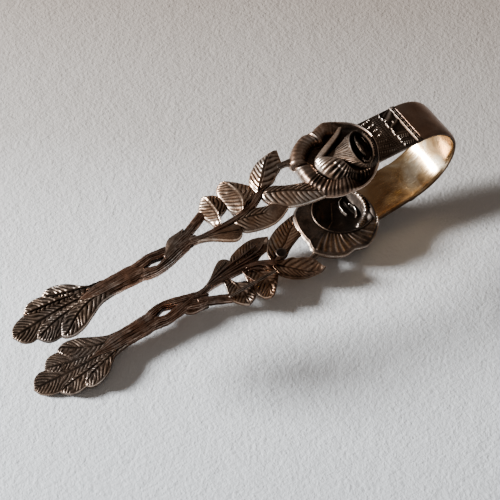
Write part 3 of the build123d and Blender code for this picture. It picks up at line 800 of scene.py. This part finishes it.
def strap_shell():
    """Strap from under the rose's rim, whose curve it follows, to the bow."""
    steps, m = 170, 150
    half = STRAP_WIDTH / 2
    y = np.sin(np.linspace(-math.pi / 2, math.pi / 2, m))
    y = np.sign(y) * half * np.abs(y) ** 0.8
    edge = np.sqrt(np.clip(1 - (np.abs(y) / half) ** 24, 0, 1))
    start = ROSE[0] + np.sqrt(STRAP_TUCK ** 2 - (y - ROSE[1]) ** 2)
    x = start + (BOW_START_X - start) * np.linspace(0, 1, steps)[:, None]
    y = np.tile(y, (steps, 1))
    height, wear = strap_relief(x, y)
    outer = np.dstack([x, y, (STRAP_THICKNESS / 2 - 0.25 + height) * edge])
    inner = np.dstack([x, y, -STRAP_THICKNESS / 2 * edge * np.ones_like(x)])[:, -2:0:-1]

    # inner face: darker towards the rose, with one ragged golden spot that is a painted reflection
    x, y = inner[..., 0], inner[..., 1]
    gold_reflection_reach = np.hypot((x - 95.3) / 2.9, (y - 2.8 + 0.18 * (x - 95.3)) / 1.5)
    gold_reflection_reach += 0.14 * np.sin(11 * y + x) + 0.1 * np.sin(4.7 * x - 7 * y)
    below = inside_wear(y) - 0.3 * (1 - smooth(x, 95.5, 99.6))
    # painted reflection: wear is raised into the golden top of the polished ramp over this spot
    below += 0.38 * (1 - smooth(gold_reflection_reach, 0.55, 1.15)) * (0.8 + 0.2 * np.sin(17 * y))
    wear = np.hstack([wear, below])
    wear[:2] = 0.08
    return Shell().rings(np.hstack([outer, inner]), wear, inner_from=m)


def bar_shell():
    """Two ridges side by side across the strap, the one by the foliage thin and sharp."""
    n, m, under = 110, 26, 6
    y = np.linspace(-STRAP_WIDTH / 2 + 0.02, STRAP_WIDTH / 2 - 0.02, n)[:, None]
    across = np.linspace(0, 1, m)
    ridges = 0.4 * hump(across, 0.2, 0.1) + 0.3 * hump(across, 0.6, 0.2)
    worn = 0.16 + 0.42 * hump(across, 0.2, 0.08) + 0.26 * hump(across, 0.6, 0.2)
    x = 98.35 + 1.6 * np.r_[across, np.linspace(1, 0, under + 2)[1:-1]]
    nick = 1 + 0.08 * np.sin(5.1 * y) + 0.07 * np.sin(13.7 * y)
    shrink = 1 - 0.6 * np.maximum(0, np.abs(y) - 5.3) / 0.4
    low = np.full((n, under), 0.1)
    z = np.hstack([STRAP_THICKNESS / 2 - 0.26 + ridges * nick * shrink, low])
    loops = np.dstack([np.tile(x, (n, 1)), np.tile(y, (1, m + under)), z])
    return Shell().rings(loops, np.clip(np.hstack([worn * (1.4 * nick - 0.4), low]), 0, 1))


def bow_shell():
    """Plain spring strip, bent round from one strap to the other, a little uneven."""
    n, m = 150, 40
    phi = np.linspace(-math.pi / 2 + BOW_SPLAY, math.pi / 2 - BOW_SPLAY, n)[:, None]
    half = STRAP_WIDTH / 2
    y = half * np.sin(np.linspace(-math.pi / 2, math.pi / 2, m))
    thick = (STRAP_THICKNESS / 2 - 0.02) * np.sqrt(np.clip(1 - (np.abs(y) / half) ** 10, 0, 1))
    dent = 0.05 * np.sin(3.1 * phi + 0.4) + 0.03 * np.sin(7.3 * phi)
    inside = BOW_RADIUS - thick + dent + 0.05 * np.cos(math.pi * y / STRAP_WIDTH)
    r = np.hstack([BOW_RADIUS + thick + dent * 0.6, inside[:, -2:0:-1]])
    y = np.r_[y, y[-2:0:-1]]
    worn = 0.36 - 0.16 * smooth(np.abs(y), half - 0.4, half - 0.05)
    worn[m:] = inside_wear(y[m:])
    loops = np.dstack([BOW_CENTRE_X + r * np.cos(phi), np.tile(y, (n, 1)), r * np.sin(phi)])
    return Shell().rings(loops, np.tile(worn, (n, 1)), inner_from=m)


# ---- materials ----
class Look:
    """A material being made: a shader, object coordinates, and what adds nodes before it."""

    def __init__(self, name):
        self.material = bpy.data.materials.new(name)
        self.material.use_nodes = True
        self.tree = self.material.node_tree
        self.tree.nodes.clear()
        self.shader = self.add("BsdfPrincipled", {})
        self.add("OutputMaterial", {"Surface": self.shader.outputs["BSDF"]})
        self.coords = self.add("TexCoord", {}).outputs["Object"]

    def feed(self, node, sockets):
        """Give a node's inputs their numbers, or the sockets that they follow."""
        for key, value in sockets.items():
            if isinstance(value, bpy.types.NodeSocket):
                self.tree.links.new(value, node.inputs[key])
            else:
                node.inputs[key].default_value = value

    def add(self, kind, sockets, **settings):
        node = self.tree.nodes.new("ShaderNode" + kind)
        for name, value in settings.items():
            setattr(node, name, value)
        self.feed(node, sockets)
        return node

    def noise(self, scale, detail=4, roughness=0.55, distortion=0.0, coords=None):
        return self.add("TexNoise", {
            "Scale": scale, "Detail": detail, "Roughness": roughness, "Distortion": distortion,
            "Vector": coords or self.coords}).outputs["Fac"]

    def ramp(self, source, stops):
        """Ramp through (place, colour) or (place, grey) stops."""
        made = self.add("ValToRGB", {"Fac": source})
        elements = made.color_ramp.elements
        while len(elements) < len(stops):
            elements.new(0.5)
        for element, (place, colour) in zip(elements, stops):
            element.position = place
            element.color = (*colour, 1) if isinstance(colour, tuple) else (colour,) * 3 + (1,)
        return made.outputs["Color"]

    def maths(self, operation, a, b, clamp=False):
        return self.add("Math", {0: a, 1: b}, operation=operation, use_clamp=clamp).outputs[0]

    def varied(self, value, scale, amount, clamp=False):
        """A value with noise about zero put on it."""
        ripple = self.maths("SUBTRACT", self.noise(scale), 0.5)
        return self.maths("ADD", value, self.maths("MULTIPLY", ripple, amount), clamp)

    def multiplied(self, a, b):
        return self.add("Mix", {0: 1.0, 6: a, 7: b}, data_type="RGBA",
                        blend_type="MULTIPLY").outputs[2]

    def worn_metal(self):
        """Make the shader metallic; gives the mesh's wear."""
        self.feed(self.shader, {"Metallic": 1.0})
        return self.add("Attribute", {}, attribute_name="wear").outputs["Fac"]

    def finished(self, colour, roughness, *bumps):
        """Join the shader; bumps are (height, strength, distance), the coarsest first."""
        self.feed(self.shader, {"Base Color": colour, "Roughness": roughness})
        under = {}
        for height, strength, distance in bumps:
            made = self.add("Bump", {"Height": height, "Strength": strength,
                                     "Distance": distance, **under})
            under = {"Normal": made.outputs["Normal"]}
        self.feed(self.shader, under)
        return self.material


# roughness over wear, from the hollows to the rubbed edges
SATIN = ((0.0, 0.5), (0.4, 0.36), (0.7, 0.28), (1.0, 0.22))


def tarnished_silver(name, colours, roughness=SATIN, warm=(1.08, 0.93, 0.80), pit=0.5):
    """Oxidised silver: dark in the hollows, brown between, bright where it is rubbed.

    colours and roughness are ramps over how worn the metal is; warm tints parts of it, and
    pit is how deep its grain and dents are.
    """
    look = Look(name)
    level = look.varied(look.varied(look.worn_metal(), 300, 0.6), 2600, 0.3, clamp=True)
    tint = look.ramp(look.noise(130, detail=3), [(0.40, (1.0, 1.0, 1.0)), (0.62, warm)])
    return look.finished(
        look.multiplied(look.ramp(level, colours), tint),
        look.varied(look.ramp(level, roughness), 900, 0.2, clamp=True),
        (look.noise(800, detail=3), 0.5 * pit, 0.00016),
        (look.noise(5200, detail=6, roughness=0.6), pit, 0.00003))


def polished_silver():
    """Gilded, rubbed inner face of the spring: stains, fine scratches, dark edges, and a painted
    golden reflection.
    """
    look = Look("polished_silver")
    # the last, golden stop is the colour of the painted reflection on the strap's inner face
    rubbed = look.ramp(look.worn_metal(), [
        (0.15, (0.09, 0.07, 0.06)), (0.6, (0.6, 0.5, 0.42)), (0.88, (1.0, 1.0, 1.0)),
        (0.98, (1.15, 0.95, 0.45))])
    stains = look.noise(140, detail=5, roughness=0.6, distortion=0.6)
    gilt = look.ramp(stains, [(0.30, (0.33, 0.20, 0.10)), (0.45, (0.58, 0.41, 0.24)),
                              (0.56, (0.73, 0.62, 0.48)), (0.70, (0.87, 0.83, 0.75))])
    stretched = look.add("Mapping", {"Scale": (1, 14, 1), "Vector": look.coords}).outputs[0]
    scratches = look.noise(420, detail=6, roughness=0.7, coords=stretched)
    return look.finished(
        look.multiplied(gilt, rubbed), look.ramp(scratches, [(0.35, 0.13), (0.7, 0.30)]),
        (look.noise(110, detail=2), 0.5, 0.0004), (scratches, 0.25, 0.00003))


cast_silver = tarnished_silver(
    "cast_silver",
    [(0.0, (0.010, 0.0085, 0.0075)), (0.2, (0.034, 0.0275, 0.0235)), (0.4, (0.15, 0.117, 0.098)),
     (0.62, (0.40, 0.355, 0.32)), (1.0, (0.82, 0.80, 0.78))])
stem_silver = tarnished_silver(
    "stem_silver",
    [(0.0, (0.010, 0.007, 0.005)), (0.2, (0.045, 0.027, 0.019)), (0.42, (0.19, 0.128, 0.098)),
     (0.65, (0.44, 0.37, 0.33)), (1.0, (0.80, 0.77, 0.73))], warm=(1.15, 0.88, 0.72))
petal_silver = tarnished_silver(
    "petal_silver",
    [(0.0, (0.008, 0.0065, 0.0055)), (0.2, (0.036, 0.027, 0.021)), (0.4, (0.17, 0.126, 0.098)),
     (0.62, (0.42, 0.37, 0.33)), (1.0, (0.82, 0.80, 0.78))],
    [(0.0, 0.6), (0.4, 0.5), (0.7, 0.36), (1.0, 0.24)], warm=(1.12, 0.92, 0.76))
rose_silver = tarnished_silver(
    "rose_silver",
    [(0.0, (0.010, 0.0075, 0.006)), (0.2, (0.044, 0.031, 0.024)), (0.42, (0.18, 0.132, 0.103)),
     (0.65, (0.43, 0.37, 0.33)), (1.0, (0.80, 0.77, 0.74))],
    [(0.0, 0.5), (0.4, 0.38), (0.7, 0.3), (1.0, 0.22)], warm=(1.12, 0.91, 0.77))
golden_silver = tarnished_silver(
    "golden_silver",
    [(0.0, (0.010, 0.0075, 0.006)), (0.2, (0.043, 0.030, 0.0225)), (0.4, (0.19, 0.136, 0.104)),
     (0.62, (0.43, 0.37, 0.32)), (1.0, (0.82, 0.79, 0.76))], warm=(1.16, 0.91, 0.72))
strap_silver = tarnished_silver(
    "strap_silver",
    [(0.0, (0.010, 0.008, 0.007)), (0.2, (0.035, 0.027, 0.022)), (0.45, (0.15, 0.12, 0.10)),
     (0.7, (0.45, 0.41, 0.37)), (1.0, (0.84, 0.82, 0.79))],
    [(0.0, 0.5), (0.5, 0.34), (1.0, 0.22)])
bow_silver = tarnished_silver(
    "bow_silver",
    [(0.0, (0.04, 0.026, 0.020)), (0.4, (0.22, 0.150, 0.115)), (0.7, (0.36, 0.28, 0.24)),
     (1.0, (0.7, 0.66, 0.62))],
    [(0.0, 0.42), (0.5, 0.3), (1.0, 0.2)], pit=0.15)
inner_silver = polished_silver()


# ---- the tongs ----
for leaf_name, rings in claw_leaves.items():
    on_both_arms(leaf_name, Shell().rings(*rings), cast_silver)
for leaf_name, rings in vine_leaves.items():
    on_both_arms(leaf_name, Shell().rings(*rings), golden_silver)
on_both_arms("stem", stem_shell(), stem_silver)
on_both_arms("vine", vine_shell(), (stem_silver, cast_silver))
on_both_arms("far_twig", bundle(far_twig), stem_silver)
on_both_arms("rose_twig", bundle(rose_twig), cast_silver)
on_both_arms("bud", Shell().rings(*bud), golden_silver)
on_both_arms("bract", Shell().rings(*bract), rose_silver)
on_both_arms("cast_pad", bundle(cast_pad()), cast_silver)
on_both_arms("rose_outer_petals", rose_dish(), (rose_silver, cast_silver), place=tilt_to_rose)
on_both_arms("rose_folded_petal", folded_petal(), petal_silver, place=tilt_to_rose)
on_both_arms("rose_bud_petals", bud_petals(), petal_silver, place=tilt_to_rose)
on_both_arms("rose_heart", rose_heart(), petal_silver, place=tilt_to_rose)
on_both_arms("strap", strap_shell(), (strap_silver, inner_silver), tilt_to_strap)
on_both_arms("strap_bar", bar_shell(), strap_silver, tilt_to_strap)

bow_look = add_piece("bow_spring_look", bow_shell(), arm_matrix("upper"),
                     (bow_silver, inner_silver), None, ["bow_spring"], np.array)
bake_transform(bow_look)


# ---- stage ----
def painted_paper():
    """Matt painted paper with painted light: whiter and bluer towards the near left as a pool of
    window light, then past a painted soft shadow edge greyer and warmer as painted shade far from
    it.
    """
    look = Look("painted_paper")
    look.feed(look.shader, {"Specular IOR Level": 0.2})
    apart = look.add("SeparateXYZ", {"Vector": look.coords})
    # painted light: far grows away from the near left and the ramp below turns it into the painted
    # falloff; cloud makes it uneven
    far = look.maths("ADD", look.maths("MULTIPLY", apart.outputs["X"], 0.66), apart.outputs["Y"])
    far = look.maths("ADD", look.maths("MULTIPLY", far, 4.2), 0.30)
    cloud = look.maths("MULTIPLY", look.noise(14, detail=5), 0.2)
    paper_with_painted_light = look.ramp(look.maths("ADD", far, cloud, clamp=True), [
        (0.0, (0.74, 0.80, 0.86)), (0.38, (0.84, 0.875, 0.905)), (0.60, (0.53, 0.51, 0.49)),
        (1.0, (0.315, 0.255, 0.21))])
    return look.finished(
        paper_with_painted_light, look.ramp(look.noise(300), [(0.0, 0.75), (1.0, 0.9)]),
        (look.noise(260, detail=3), 0.22, 0.0008), (look.noise(1100, roughness=0.6), 0.9, 0.00022))


def make_floor():
    """Sheet of painted paper just under the tongs."""
    size, cells = 1.6, 24
    mesh = bpy.data.meshes.new("floor")
    bm = bmesh.new()
    bmesh.ops.create_grid(bm, x_segments=cells, y_segments=cells, size=size / 2)
    bm.to_mesh(mesh)
    bm.free()
    mesh.materials.append(painted_paper())
    floor = bpy.data.objects.new("floor", mesh)
    floor.location.z = -0.00005
    bpy.context.scene.collection.objects.link(floor)


def make_window():
    """One soft light, a window low on the left, seen 12 degrees wide from the tongs."""
    data = bpy.data.lights.new("window", "AREA")
    data.shape = "RECTANGLE"
    data.size, data.size_y = 0.17, 0.13
    data.energy = 30
    data.color = (1.0, 0.99, 0.98)
    light = bpy.data.objects.new("window", data)
    light.location = 0.8 * Vector((-0.79, 0.535, 0.30)).normalized()
    aim = Vector((0, 0, 0.01))
    light.rotation_euler = (aim - light.location).to_track_quat("-Z", "Y").to_euler()
    bpy.context.scene.collection.objects.link(light)


def make_camera():
    """Camera over the near left of the tongs, looking down at them, a little rolled."""
    azimuth, tilt, roll = [math.radians(angle) for angle in (-38.020, 35.864, 5.885)]
    data = bpy.data.cameras.new("camera")
    data.lens = 108.0
    data.sensor_width = 36
    data.clip_start, data.clip_end = 0.01, 10
    camera = bpy.data.objects.new("camera", data)
    camera.matrix_world = (Matrix.Translation((-0.11999, -0.15651, 0.28429))
                           @ Matrix.Rotation(azimuth, 4, "Z") @ Matrix.Rotation(tilt, 4, "X")
                           @ Matrix.Rotation(roll, 4, "Z"))
    bpy.context.scene.collection.objects.link(camera)
    bpy.context.scene.camera = camera


def make_world():
    """Dim, slightly warm light from the room."""
    world = bpy.data.worlds.new("room")
    world.use_nodes = True
    background = world.node_tree.nodes["Background"]
    background.inputs["Color"].default_value = (0.165, 0.140, 0.122, 1)
    background.inputs["Strength"].default_value = 1.0
    bpy.context.scene.world = world


make_floor()
make_camera()
make_world()
make_window()
